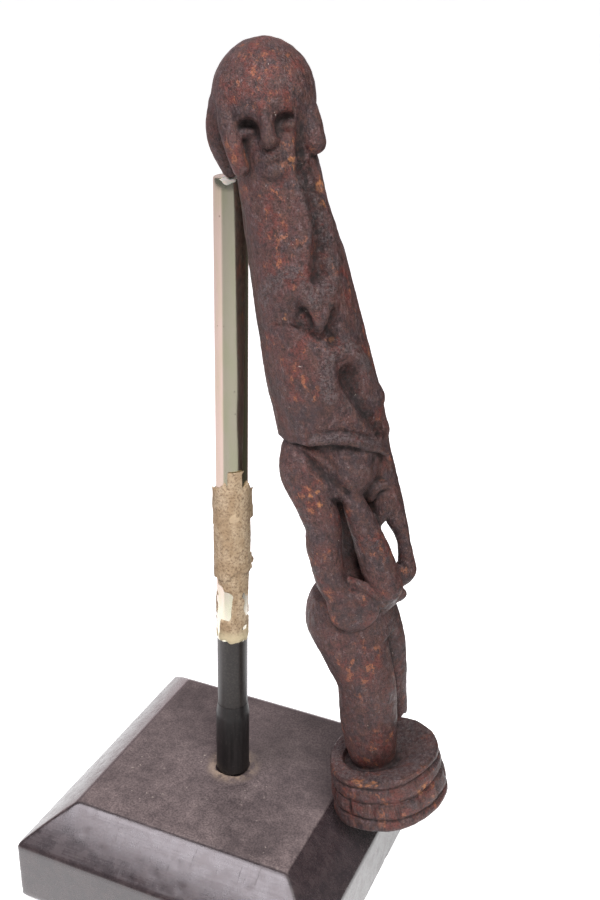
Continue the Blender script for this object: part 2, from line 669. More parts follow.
def crowding(clay, points, reach):
    """Share of the cube round each point that is wood: about a half on a flat face, more in a recess."""
    solid = (clay.field < 0).astype(np.float32)
    width = max(1, int(round(reach / clay.step)))
    for axis in range(3):
        pad = [(width + 1, width) if i == axis else (0, 0) for i in range(3)]
        total = np.cumsum(np.pad(solid, pad), axis)
        size = solid.shape[axis]
        ahead = np.take(total, np.arange(2 * width + 1, 2 * width + 1 + size), axis)
        behind = np.take(total, np.arange(size), axis)
        solid = (ahead - behind) / (2 * width + 1)
    spots = np.rint((points - clay.low) / clay.step).astype(int)
    return solid[tuple(spots.T)]


def near_line(points, stations, reach):
    """1 on a smooth path over the headdress, falling to 0 at reach from it."""
    rows = np.array([on_headdress(x, z) for x, z in stations])
    path = curve_points(rows, 6)
    gap = np.full(len(points), 1e3)
    for spot in path:
        gap = np.minimum(gap, np.linalg.norm(points - spot, axis=1))
    return 1.0 - soft_step(gap, 0.35 * reach, reach)


def near_spots(points, spots):
    """1 at listed spots, falling to 0 at each one's reach; a spot is (x, y, z, reach)."""
    total = np.zeros(len(points))
    for x, y, z, reach in spots:
        gap = np.linalg.norm(points - (x, y, z), axis=1)
        total = np.maximum(total, 1.0 - soft_step(gap, 0.3 * reach, reach))
    return total


# ((x, z) stations over the headdress, reach) of rough lines, and of lines dark with dirt
CRUSTED_LINES = (
    ((
        (-6.6, 110.0), (-4.6, 112.6), (-1.0, 114.2), (1.4, 112.8), (2.6, 109.4), (4.4, 110.4), (7.0, 113.8),
    ), 2.4),
    (((2.4, 92.0), (2.2, 96.0), (4.4, 99.8), (7.4, 99.4), (9.4, 95.6)), 2.0),
    (((-2.0, 84.6), (2.0, 84.4), (6.0, 83.0), (9.6, 80.2)), 1.2),
    (((4.4, 129.0), (5.2, 124.0), (5.6, 118.0), (4.8, 113.0)), 2.8),
)
DARK_LINES = (
    (((4.4, 131.0), (5.2, 125.0), (5.2, 119.0), (4.2, 114.0)), 2.6),
    (((-0.4, 107.0), (0.1, 109.6)), 1.3),
    (((-1.6, 106.2), (0.9, 104.6), (2.5, 102.8), (4.2, 104.2), (5.6, 107.0)), 1.3),
    (((4.9, 107.4), (4.6, 104.4), (4.3, 101.0)), 1.5),
    (((6.3, 95.4), (6.6, 92.6)), 2.6),
    (((6.6, 92.0), (8.0, 88.0), (10.2, 82.0)), 1.5),
)
# (x, y, z, reach) of places rubbed down to fresh orange wood
RUBBED_SPOTS = (
    (3.2, -6.8, 132.2, 2.2),
    (6.6, -3.4, 127.4, 2.6),
    (6.4, -4.0, 124.4, 1.8),
    (-3.4, -8.6, 107.0, 1.5),
    (-1.4, -8.8, 106.4, 1.3),
    (4.2, -8.4, 100.6, 1.0),
    (4.4, -8.2, 101.6, 1.2),
    (-3.6, -8.8, 74.2, 2.0),
    (-2.4, -8.8, 72.0, 1.6),
    (-5.2, -10.0, 12.0, 3.2),
    (-2.4, -11.2, 11.6, 2.8),
    (7.0, -8.8, 7.6, 2.2),
)
# (x, y, z, reach) of places where the stain has gone red and freckled
RED_SPOTS = (
    (-1.0, -7.0, 148.0, 9.0),
    (5.0, -5.0, 146.0, 5.0),
    (-1.0, -7.4, 124.0, 8.0),
    (3.6, -6.6, 116.0, 5.0),
    (-2.0, -8.6, 96.0, 6.0),
    (-5.0, -8.0, 75.0, 6.0),
    (-3.6, -9.0, 61.0, 5.0),
    (1.6, -8.6, 46.0, 4.0),
    (-0.6, -7.0, 36.0, 6.0),
    (-1.2, -6.4, 17.0, 6.0),
    (-1.6, -5.0, 12.0, 6.0),
    (0.0, -11.5, 5.0, 8.0),
    (8.0, -8.0, 6.0, 6.0),
)
# (x, y, z, reach) of the fibrous hollow between the arms
CHEST_SPOTS = ((0.4, -2.0, 64.0, 9.0), (2.0, -3.0, 56.0, 6.0))


def carved_clay():
    """The figure in its own upright frame."""
    clay = Clay(CLAY_LOW, CLAY_HIGH, CLAY_STEP)
    steps = (pedestal, near_leg, far_leg, body, chest_recess, headdress, shield, near_arm, far_arm, head)
    for press_on in steps:
        press_on(clay)
    return clay


def roughened(points, faces, clay):
    """Weathered points, and what each carries for the wood's colour."""
    edges = edges_of(faces)
    points = relaxed(points, edges, 1)
    out = normals_of(points, faces)
    recess = soft_step(crowding(clay, points, 1.8), 0.55, 0.70)
    near = soft_step(crowding(clay, points, 0.9), 0.58, 0.76)
    recess = np.maximum(recess, near)
    level = soft_step(out[:, 2], 0.6, 0.9) * (points[:, 2] < PED_TOP + 1.5)
    recess = recess * (1.0 - 0.8 * level)
    crust = level
    for stations, reach in CRUSTED_LINES:
        crust = np.maximum(crust, near_line(points, stations, reach))
    dark = np.zeros(len(points))
    for stations, reach in DARK_LINES:
        dark = np.maximum(dark, near_line(points, stations, reach))
    rubbed = near_spots(points, RUBBED_SPOTS)
    red = near_spots(points, RED_SPOTS)
    chest = near_spots(points, CHEST_SPOTS)
    fibres = noise(points, (0.55, 0.55, 5.0), 11)
    push = 0.10 * noise(points, 3.4, 1) + 0.06 * noise(points, (1.0, 1.0, 2.0), 2)
    push += 0.05 * noise(points, 0.8, 3)
    push += crust * (0.07 * noise(points, 1.1, 4) + 0.06 * noise(points, 0.6, 5))
    push -= dark * 0.16 * soft_step(noise(points, (0.8, 0.8, 1.3), 6), 0.05, 0.5)
    push += recess * chest * 0.22 * fibres
    moved = points + out * push[:, None]
    broad = relaxed(moved, edges, 30)
    bulge = np.einsum("ij,ij->i", moved - broad, out)
    carried = {
        "recess": np.clip(recess + soft_step(-bulge, 0.05, 0.28), 0, 1),
        "worn": soft_step(bulge, 0.05, 0.30),
        "crust": crust,
        "dark": dark,
        "rubbed": rubbed,
        "red": red,
        "chest": chest,
    }
    return moved, carried


def placed(points):
    """Figure-frame points in the shared frame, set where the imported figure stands."""
    leaned = points @ LEANING.T
    low, high = leaned.min(0), leaned.max(0)
    shift = (FIGURE_LOW + FIGURE_HIGH - low - high) / 2
    shift[2] = FIGURE_LOW[2] - low[2]
    return leaned + shift


def cleared_of_rod(points):
    """Points moved out of the rod, so the wood meets it edge to edge."""
    keep = ROD_RADIUS + CONTACT_GAP
    out = np.hypot(points[:, 0], points[:, 1])
    beside = (out < keep) & (points[:, 2] < ROD_TOP)
    over = beside & (points[:, 2] > ROD_TOP - 1.5)
    moved = points.copy()
    moved[over, 2] = ROD_TOP + CONTACT_GAP
    aside = beside & ~over
    scale = (keep / np.maximum(out[aside], 1e-6))[:, None]
    moved[aside, :2] *= scale
    return moved


# the tape's thick upper wrap runs from its step to its rim
TAPE_THIN = 0.2
TAPE_THICK = TAPE_HIGH[0] - ROD_RADIUS - 0.05
TAPE_STEP = TAPE_LOW[2] + 16.0
TAPE_RIM = TAPE_HIGH[2] - 5.4
# angle (radians), lowest and highest height, width (radians), lift, seed
TAPE_FLAPS = (
    (0.00, TAPE_STEP + 1.0, TAPE_STEP + 4.5, 0.45, 0.6, 81),
    (0.05, TAPE_STEP + 12.5, TAPE_RIM - 0.3, 0.40, 0.5, 82),
    (-2.35, TAPE_STEP + 11.0, TAPE_RIM - 0.2, -0.35, 0.35, 83),
    (-1.35, TAPE_RIM - 1.5, TAPE_RIM + 4.4, 1.05, 0.02, 84),
)


# ---------------------------------------------------------------- pieces
def add_piece(name, points, faces, look, stands_for, finish):
    """Mesh in millimetres as an object that rides on the CAD's body in place of a node."""
    mesh = bpy.data.meshes.new(name)
    mesh.from_pydata((points * MM).tolist(), [], [list(face) for face in faces])
    mesh.validate()
    mesh.polygons.foreach_set("use_smooth", [True] * len(mesh.polygons))
    mesh.materials.append(look)
    piece = bpy.data.objects.new(name, mesh)
    bpy.context.scene.collection.objects.link(piece)
    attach(piece, "root")
    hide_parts(stands_for)
    return piece


def carry(piece, name, values):
    """Give each point of a piece a number or a vector that its material reads."""
    flat = np.ravel(values).astype(np.float32)
    single = len(flat) == len(piece.data.vertices)
    kind, field = ("FLOAT", "value") if single else ("FLOAT_VECTOR", "vector")
    attribute = piece.data.attributes.new(name, kind, "POINT")
    attribute.data.foreach_set(field, flat)


def stacked_faces(number, looped=False):
    """Faces over rows of points that run round Z; without a loop both ends are capped."""
    following = np.roll(number, -1, 1)
    if looped:
        rows = (number, following, np.roll(following, -1, 0), np.roll(number, -1, 0))
    else:
        rows = (number[:-1], following[:-1], following[1:], number[1:])
    faces = np.stack(rows, -1).reshape(-1, 4).tolist()
    if not looped:
        faces += [number[0][::-1].tolist(), number[-1].tolist()]
    return faces


def lathe(outline, count, shape):
    """Points and faces of an outline of (radius, height) turned about Z.

    shape(radius, height, angle) gives the radius and height of each point. An outline whose
    first and last points coincide closes on itself; any other is capped at both ends."""
    looped = outline[0] == outline[-1]
    rows = np.array(outline[:-1] if looped else outline, float)
    angles = np.linspace(0, 2 * np.pi, count, endpoint=False)
    radius, angle = np.meshgrid(rows[:, 0], angles, indexing="ij")
    height = np.meshgrid(rows[:, 1], angles, indexing="ij")[0]
    radius, height = shape(radius, height, angle)
    points = np.stack([radius * np.cos(angle), radius * np.sin(angle), height], -1).reshape(-1, 3)
    number = np.arange(len(points)).reshape(len(rows), count)
    return points, stacked_faces(number, looped)


def spaced(low, high, gap):
    """Evenly spaced heights with both ends."""
    return np.linspace(low, high, max(2, int(round(abs(high - low) / gap)) + 1))


def tube_outline(inner, outer, low, high, gap):
    """Closed outline of a tube wall, up the outside and down the inside."""
    rows = [(outer, z) for z in spaced(low, high, gap)]
    rows += [(inner, z) for z in spaced(high, low, gap)]
    return rows + rows[:1]


def ring_noise(angle, height, width, tall, seed):
    """Noise that closes on itself round the Z axis; blobs are width radians wide and tall high."""
    spots = np.stack([np.cos(angle), np.sin(angle), height * width / tall], -1).reshape(-1, 3)
    return noise(spots, width, seed).reshape(angle.shape)


# ---------------------------------------------------------------- the stand
SQUARE_POWER = 90.0
SLOPE_CROWN = 0.35


def square_reach(angle, power):
    """Distance to a rounded square of half-width 1, in a direction."""
    total = np.abs(np.cos(angle)) ** power + np.abs(np.sin(angle)) ** power
    return total ** (-1.0 / power)


def block_outline():
    """(half-width, height, squareness) rows from under the block, up its side and over its top."""
    low, slope = BLOCK_LOW[2], (TOP_HALF - BLOCK_HALF) / (BLOCK_TOP - SHOULDER)
    rows = [(BLOCK_HALF - 3, low, 1), (BLOCK_HALF - EDGE_ROUND, low, 1), (BLOCK_HALF - 0.2, low + 0.15, 1)]
    rows += [(BLOCK_HALF, z, 1) for z in spaced(low + EDGE_ROUND, SHOULDER - 0.35, 0.9)]
    for z in spaced(SHOULDER + 0.25, BLOCK_TOP - 0.28, 0.5):
        crown = SLOPE_CROWN * np.sin(np.pi * (z - SHOULDER) / (BLOCK_TOP - SHOULDER))
        rows.append((BLOCK_HALF + slope * (z - SHOULDER) + crown, z, 1))
    rows += [(TOP_HALF - 0.12, BLOCK_TOP - 0.08, 1)]
    hole = ROD_RADIUS + 0.03
    for half in spaced(TOP_HALF - 0.5, hole + 0.4, 0.6):
        share = (half - hole) / (TOP_HALF - hole)
        rows.append((half, BLOCK_TOP, share ** 0.5))
    rows += [(hole, BLOCK_TOP - 0.1, 0), (hole, BLOCK_TOP - 6.0, 0)]
    return np.array(rows)


def block_mesh():
    """Bevelled block with slightly worn, uneven edges."""
    count = 560
    even = np.linspace(0, 2 * np.pi, count, endpoint=False)
    angles = even + 0.21 * np.sin(4 * even)
    rows = block_outline()
    powers = 2.0 + (SQUARE_POWER - 2.0) * rows[:, 2] ** 2
    reach = np.array([square_reach(angles, power) for power in powers])
    radius = rows[:, :1] * reach
    points = np.stack(
        [radius * np.cos(angles), radius * np.sin(angles), np.repeat(rows[:, 1:2], count, 1)], -1
    ).reshape(-1, 3)
    side = np.repeat(rows[:, 2], count) > 0.05
    sway = 0.06 * noise(points, 14.0, 21) + 0.02 * noise(points, 3.0, 22)
    nick = -0.10 * soft_step(noise(points, (2.2, 2.2, 1.2), 23), 0.45, 0.9)
    level = side & (points[:, 2] < BLOCK_TOP - 0.01)
    out = points.copy()
    out[:, 2] = 0.0
    out /= np.maximum(np.linalg.norm(out, axis=1, keepdims=True), 1e-6)
    points += out * ((sway + nick) * level)[:, None]
    points[:, 2] += np.where(side & ~level, 0.5 * sway, 0.0)
    return points, stacked_faces(np.arange(len(points)).reshape(len(rows), count))


def rod_mesh():
    """Round bar with a broken edge, very slightly uneven."""
    low, high, edge = ROD_LOW[2], ROD_TOP, 0.35
    outline = [(ROD_RADIUS - edge, low)]
    outline += [(ROD_RADIUS, z) for z in spaced(low + edge, high - edge, 2.0)]
    outline += [(ROD_RADIUS - edge / 3, high - edge / 4), (ROD_RADIUS - edge, high), (ROD_RADIUS / 2, high)]

    def uneven(radius, height, angle):
        return radius + 0.01 * ring_noise(angle, height, 0.8, 9.0, 31), height

    return lathe(outline, 96, uneven)


def sleeve_mesh():
    """Shrunk tube with a rolled upper end and faint lengthwise puckers."""
    inner = ROD_RADIUS + 0.02
    outer = SLEEVE_HIGH[0]
    low, high = SLEEVE_LOW[2], SLEEVE_HIGH[2]
    neck = 3.2
    outline = [(outer, z) for z in spaced(low, high - neck, 0.6)]
    for share in np.linspace(0.15, 1.0, 8):
        eased = share * share * (3 - 2 * share)
        outline.append((outer - eased * (outer - inner - 0.05), high - neck + share * (neck - 0.05)))
    outline += [(inner + 0.03, high), (inner, high - 0.2)]
    outline += [(inner, z) for z in spaced(high - neck, low, 4.0)]

    def puckered(radius, height, angle):
        skin = soft_step(radius - inner, 0.05, 0.3)
        fold = 0.035 * ring_noise(angle, height, 0.5, 14.0, 41)
        fold = fold + 0.03 * ring_noise(angle, height, 2.0, 2.4, 42)
        lift = 0.25 * ring_noise(angle, height, 1.2, 40.0, 43) * soft_step(height, high - neck, high)
        return radius + skin * fold, height + lift

    return lathe(outline + outline[:1], 96, puckered)


def tape_mesh():
    """Crumbling tape: a thick upper wrap with torn edges over patchy lower leavings."""
    inner = ROD_RADIUS + 0.02
    low, high = TAPE_LOW[2], TAPE_HIGH[2]
    outline = tube_outline(inner, ROD_RADIUS + 0.1, low, high, 0.22)

    def torn(angle, width, seed):
        return ring_noise(angle, np.zeros_like(angle), width, 1.0, seed)

    def crumbled(radius, height, angle):
        outside = radius > inner + 0.01
        step = TAPE_STEP + (1.3 * torn(angle, 0.7, 51) + 0.6 * torn(angle, 0.22, 52))
        rim = TAPE_RIM + 2.2 * torn(angle, 0.8, 53) + 0.5 * torn(angle, 0.2, 54)
        wrap = soft_step(height, step, step + 0.5) * soft_step(-height, -rim, -rim + 0.5)
        patches = ring_noise(angle, height, 0.75, 5.0, 55) + 0.5 * ring_noise(angle, height, 0.3, 1.6, 56)
        foot = soft_step(-height, -(low + 3.6), -(low + 1.8))
        film = soft_step(patches + 0.9 * foot + 0.2 * soft_step(height, step - 4, step), -0.02, 0.2)
        film = film * soft_step(height, low + 0.5 + 0.8 * torn(angle, 0.35, 57), low + 1.4)
        grit = 0.05 * ring_noise(angle, height, 0.16, 0.6, 58)
        grit = grit + 0.05 * ring_noise(angle, height, 0.4, 4.0, 59)
        full = TAPE_THICK * wrap + TAPE_THIN * film * (1 - wrap) + grit * np.maximum(wrap, film)
        above = soft_step(height, rim - 0.3, rim + 0.2)
        skin = ROD_RADIUS + np.where(above > 0.5, -0.12, full - 0.12 * (1 - np.maximum(wrap, film)))
        return np.where(outside, skin, inner - 0.3), height

    return lathe(outline, 180, crumbled)


def flap_mesh(angle, low, high, reach, lift, seed):
    """One torn flap of tape that has sprung off the wrap."""
    across, up = np.meshgrid(np.linspace(0, 1, 14), np.linspace(0, 1, 26), indexing="ij")
    spots = np.stack([up * 5, up * 0, up * 0], -1).reshape(-1, 3)
    ragged = 1.0 + 0.25 * noise(spots, 1.0, seed).reshape(up.shape)
    turn = angle + reach * across * ragged
    skin = ROD_RADIUS + TAPE_THICK * 0.7 + lift * (across * ragged) ** 1.6
    height = low + (high - low) * up + 0.5 * across * np.sin(9 * up)
    sheet = np.stack([skin * np.cos(turn), skin * np.sin(turn), height], -1)
    back = sheet.copy()
    back[..., :2] *= ((skin - 0.22) / skin)[..., None]
    front, rear = sheet.reshape(-1, 3), back.reshape(-1, 3)
    number = np.arange(len(front)).reshape(up.shape)
    corners = [number[:-1, :-1], number[1:, :-1], number[1:, 1:], number[:-1, 1:]]
    quads = np.stack(corners, -1).reshape(-1, 4)
    rim = np.concatenate([number[:-1, 0], number[-1, :-1], number[:0:-1, -1], number[0, :0:-1]])
    count = len(front)
    after = np.roll(rim, -1)
    walls = np.stack([rim, rim + count, after + count, after], -1)
    return np.vstack([front, rear]), np.vstack([quads, quads[:, ::-1] + count, walls])


def tape_piece_mesh():
    """The wrap and its sprung flaps together."""
    points, faces = tape_mesh()
    for flap in TAPE_FLAPS:
        more, quads = flap_mesh(*flap)
        faces += (quads + len(points)).tolist()
        points = np.vstack([points, more])
    return points, faces


def glue_mesh():
    """Dried white glue run over the rod's end under the figure's lobes."""
    clay = Clay(GLUE_LOW - 1.2, GLUE_HIGH + 1.4, 0.14)
    facing = np.radians(-75.0)
    lip = ROD_RADIUS - 0.1
    blobs = (
        (0.6, -1.0, ROD_TOP, 1.7, 1.3, 0.22),
        (lip * np.cos(facing), lip * np.sin(facing), ROD_TOP - 0.45, 0.85, 0.22, 0.62),
        (lip * np.cos(facing + 0.35), lip * np.sin(facing + 0.35), ROD_TOP - 0.2, 0.55, 0.22, 0.4),
        (lip * np.cos(facing - 0.25), lip * np.sin(facing - 0.25), ROD_TOP - 0.15, 0.5, 0.2, 0.3),
    )
    for x, y, z, a, b, c in blobs:
        clay.add(egg((x, y, z), (a, b, c), np.degrees(facing) + 90), 0.25)
    points, faces = surface_of(clay)
    points = relaxed(points, edges_of(faces), 2)
    points += normals_of(points, faces) * (0.05 * noise(points, 0.6, 61))[:, None]
    return points, faces


def felt_mesh():
    """Baize pad with a soft fuzzy edge."""
    half, low, high = FELT_HIGH[0], FELT_LOW[2], FELT_HIGH[2]
    rows = [(half - 2, low), (half - 0.25, low), (half, low + 0.3)]
    rows += [(half, high - 0.3), (half - 0.25, high), (half - 2, high)]
    angles = np.linspace(0, 2 * np.pi, 720, endpoint=False)
    reach = square_reach(angles, 26.0)
    points = []
    for radius, height in rows:
        ring = radius * reach
        level = np.full(len(angles), height)
        points.append(np.stack([ring * np.cos(angles), ring * np.sin(angles), level], -1))
    points = np.concatenate(points)
    fuzz = 0.12 * noise(points, (0.8, 0.8, 0.5), 71)
    points[:, :2] *= 1.0 + fuzz[:, None] / half
    return points, stacked_faces(np.arange(len(points)).reshape(len(rows), -1))


# ---------------------------------------------------------------- materials
class Look:
    """A material being built from nodes; lengths in its texture nodes are millimetres."""

    def __init__(self, name):
        self.material = bpy.data.materials.new(name)
        self.material.use_nodes = True
        self.tree = self.material.node_tree
        self.tree.nodes.clear()
        self.shader = self.node("ShaderNodeBsdfPrincipled")
        ending = self.node("ShaderNodeOutputMaterial")
        self.tree.links.new(self.shader.outputs[0], ending.inputs[0])
        scaled = self.node("ShaderNodeVectorMath", operation="SCALE")
        scaled.inputs["Scale"].default_value = 1.0 / MM
        self.tree.links.new(self.node("ShaderNodeTexCoord").outputs["Object"], scaled.inputs[0])
        self.place = scaled.outputs[0]

    def node(self, kind, **settings):
        made = self.tree.nodes.new(kind)
        for name, value in settings.items():
            setattr(made, name, value)
        return made

    def put(self, socket, value):
        """Link a socket to another node's output, or set its number or colour."""
        if isinstance(value, bpy.types.NodeSocket):
            self.tree.links.new(value, socket)
        elif isinstance(value, tuple) and len(value) == 3 and socket.type == "RGBA":
            socket.default_value = (*value, 1.0)
        else:
            socket.default_value = value

    def set(self, **values):
        for name, value in values.items():
            self.put(self.shader.inputs[name.replace("_", " ")], value)

    def carried(self, name, output="Fac"):
        return self.node("ShaderNodeAttribute", attribute_name=name).outputs[output]

    def times(self, first, second):
        return self.sums("MULTIPLY", first, second)

    def plus(self, first, second):
        return self.sums("ADD", first, second)

    def sums(self, operation, first, second):
        made = self.node("ShaderNodeMath", operation=operation)
        self.put(made.inputs[0], first)
        self.put(made.inputs[1], second)
        return made.outputs[0]

    def stretched(self, place, factors):
        made = self.node("ShaderNodeVectorMath", operation="MULTIPLY")
        self.put(made.inputs[0], place)
        made.inputs[1].default_value = factors
        return made.outputs[0]

    def noise(self, place, per_mm, detail=4.0, rough=0.55):
        made = self.node("ShaderNodeTexNoise")
        self.put(made.inputs["Vector"], place)
        made.inputs["Scale"].default_value = per_mm
        made.inputs["Detail"].default_value = detail
        made.inputs["Roughness"].default_value = rough
        return made.outputs["Fac"]

    def cells(self, place, per_mm):
        """Distance from the nearest scattered point, in cells."""
        made = self.node("ShaderNodeTexVoronoi")
        self.put(made.inputs["Vector"], place)
        made.inputs["Scale"].default_value = per_mm
        return made.outputs["Distance"]

    def between(self, value, low, high, start=0.0, end=1.0):
        """start below low, end above high, smooth between."""
        made = self.node("ShaderNodeMapRange", interpolation_type="SMOOTHSTEP")
        names = ("Value", "From Min", "From Max", "To Min", "To Max")
        for name, amount in zip(names, (value, low, high, start, end)):
            self.put(made.inputs[name], amount)
        return made.outputs[0]

    def mix(self, share, first, second):
        made = self.node("ShaderNodeMix", data_type="RGBA")
        self.put(made.inputs[0], share)
        self.put(made.inputs[6], first)
        self.put(made.inputs[7], second)
        return made.outputs[2]

    def bump(self, height, depth, strength=1.0, under=None):
        """Normal for a height map whose full range is depth millimetres."""
        made = self.node("ShaderNodeBump")
        made.inputs["Strength"].default_value = strength
        made.inputs["Distance"].default_value = depth * MM
        self.put(made.inputs["Height"], height)
        if under is not None:
            self.put(made.inputs["Normal"], under)
        return made.outputs[0]

    def along_z(self, vector):
        parts = self.node("ShaderNodeSeparateXYZ")
        self.put(parts.inputs[0], vector)
        return parts.outputs["Z"]

    def facing(self, direction, bearing, low, high):
        """1 where a level direction points along a bearing, 0 away from it."""
        made = self.node("ShaderNodeVectorMath", operation="DOT_PRODUCT")
        self.put(made.inputs[0], direction)
        made.inputs[1].default_value = (np.cos(bearing), np.sin(bearing), 0.0)
        return self.between(made.outputs["Value"], low, high)


WOOD_PURPLE = (0.058, 0.034, 0.037)
WOOD_RED = (0.106, 0.041, 0.037)
WOOD_WARM = (0.112, 0.050, 0.040)
WOOD_STAIN = (0.165, 0.038, 0.028)
WOOD_DARK_RED = (0.050, 0.013, 0.010)
WOOD_DARK = (0.018, 0.011, 0.011)
WOOD_PALE = (0.170, 0.112, 0.112)
WOOD_DUST = (0.138, 0.107, 0.107)
WOOD_CRUST = (0.190, 0.150, 0.150)
WOOD_WORN = (0.130, 0.065, 0.048)
WOOD_ORANGE = (0.400, 0.140, 0.065)
WOOD_RUBBED = (0.420, 0.170, 0.070)
WOOD_DIRT = (0.008, 0.005, 0.005)
WOOD_FIBRE = (0.120, 0.046, 0.034)
WOOD_SPECK = (0.600, 0.520, 0.460)


def wood_look():
    """Old dark hardwood: purple-brown, mottled, rubbed orange on the high spots, dirt in the hollows."""
    look = Look("carved_wood")
    place = look.carried("figure_place", "Vector")
    red = look.carried("red")
    recess = look.carried("recess")
    mottle = look.noise(place, 0.22, 5.0, 0.65)
    blotch = look.noise(look.stretched(place, (1.0, 1.0, 0.7)), 0.8, 4.0, 0.6)
    grain = look.noise(look.stretched(place, (1.6, 1.6, 0.16)), 1.0, 5.0, 0.6)
    grit = look.noise(place, 3.4, 4.0, 0.65)
    warmth = look.plus(mottle, look.times(red, 0.06))
    colour = look.mix(look.between(warmth, 0.42, 0.60), WOOD_PURPLE, WOOD_RED)
    colour = look.mix(look.between(blotch, 0.42, 0.66), colour, WOOD_WARM)
    colour = look.mix(look.between(grain, 0.44, 0.66, 0.0, 0.35), colour, WOOD_DARK)
    flecks = look.noise(look.stretched(place, (1.0, 1.0, 0.75)), 1.3, 4.0, 0.65)
    colour = look.mix(look.between(flecks, 0.54, 0.68, 0.0, 0.75), colour, WOOD_PALE)
    colour = look.mix(look.between(flecks, 0.32, 0.47, 0.75, 0.0), colour, WOOD_DARK)
    dusty = look.between(look.noise(place, 0.5, 5.0, 0.7), 0.52, 0.70, 0.0, 0.30)
    colour = look.mix(dusty, colour, WOOD_DUST)
    crumbs = look.between(look.noise(place, 1.6, 4.0, 0.7), 0.40, 0.60)
    crust = look.times(look.carried("crust"), crumbs)
    colour = look.mix(look.times(crust, 0.65), colour, WOOD_CRUST)
    clusters = look.plus(look.noise(place, 0.19, 3.0), look.times(red, 0.12))
    clusters = look.between(clusters, 0.50, 0.66)
    stained = look.times(look.between(look.noise(place, 0.42, 4.0, 0.65), 0.46, 0.60), clusters)
    colour = look.mix(look.times(stained, 0.70), colour, WOOD_STAIN)
    freckle = look.between(look.noise(look.stretched(place, (1.0, 1.0, 0.7)), 0.75, 3.0, 0.62), 0.565, 0.645)
    freckle = look.times(freckle, clusters)
    colour = look.mix(look.times(freckle, 0.62), colour, WOOD_ORANGE)
    worn = look.times(look.carried("worn"), look.between(look.noise(place, 0.7, 5.0, 0.7), 0.46, 0.62))
    colour = look.mix(look.times(worn, 0.55), colour, WOOD_WORN)
    pitted = look.between(grit, 0.34, 0.56, 0.80, 0.0)
    colour = look.mix(pitted, colour, WOOD_DARK)
    rubbed = look.times(look.carried("rubbed"), 0.27)
    rub = look.between(look.plus(rubbed, look.noise(place, 0.8, 5.0, 0.7)), 0.70, 0.86)
    colour = look.mix(look.times(rub, 0.85), colour, WOOD_RUBBED)
    dirt = look.times(recess, look.between(look.noise(place, 1.3, 4.0), 0.25, 0.6, 0.55, 1.0))
    colour = look.mix(look.times(dirt, 0.85), colour, WOOD_DIRT)
    chest = look.times(look.carried("chest"), recess)
    fibres = look.between(look.noise(look.stretched(place, (1.8, 1.8, 0.14)), 1.0, 5.0, 0.7), 0.44, 0.62)
    colour = look.mix(look.times(chest, 0.60), colour, look.mix(fibres, WOOD_DIRT, WOOD_FIBRE))
    dark = look.times(look.carried("dark"), look.between(look.noise(place, 1.2, 5.0, 0.75), 0.36, 0.56))
    dark_colour = look.mix(look.between(look.noise(place, 0.9, 3.0), 0.45, 0.58), WOOD_DIRT, WOOD_DARK_RED)
    colour = look.mix(look.times(dark, 0.80), colour, dark_colour)
    specks = look.between(look.noise(place, 2.0, 2.0), 0.745, 0.775)
    colour = look.mix(look.times(specks, 0.7), colour, WOOD_SPECK)
    rough = look.between(blotch, 0.3, 0.7, 0.30, 0.52)
    rough = look.plus(rough, look.times(dirt, 0.25))
    pores = look.noise(look.stretched(place, (1.0, 1.0, 0.45)), 1.9, 4.0, 0.7)
    normal = look.bump(pores, 0.45, 0.9)
    normal = look.bump(grit, 0.20, 0.85, normal)
    roughest = look.sums("MAXIMUM", look.carried("crust"), look.carried("dark"))
    lumps = look.times(look.noise(place, 1.5, 5.0, 0.75), roughest)
    normal = look.bump(lumps, 0.9, 0.8, normal)
    look.set(Base_Color=colour, Roughness=rough, Normal=normal, Specular_IOR_Level=0.42)
    return look.material


BLACK_STAIN = (0.022, 0.015, 0.018)
BROWN_STAIN = (0.040, 0.027, 0.029)
BLOCK_DUST = (0.240, 0.185, 0.178)
RING_DUST = (0.360, 0.270, 0.200)
BLOCK_SPECK = (0.450, 0.380, 0.330)


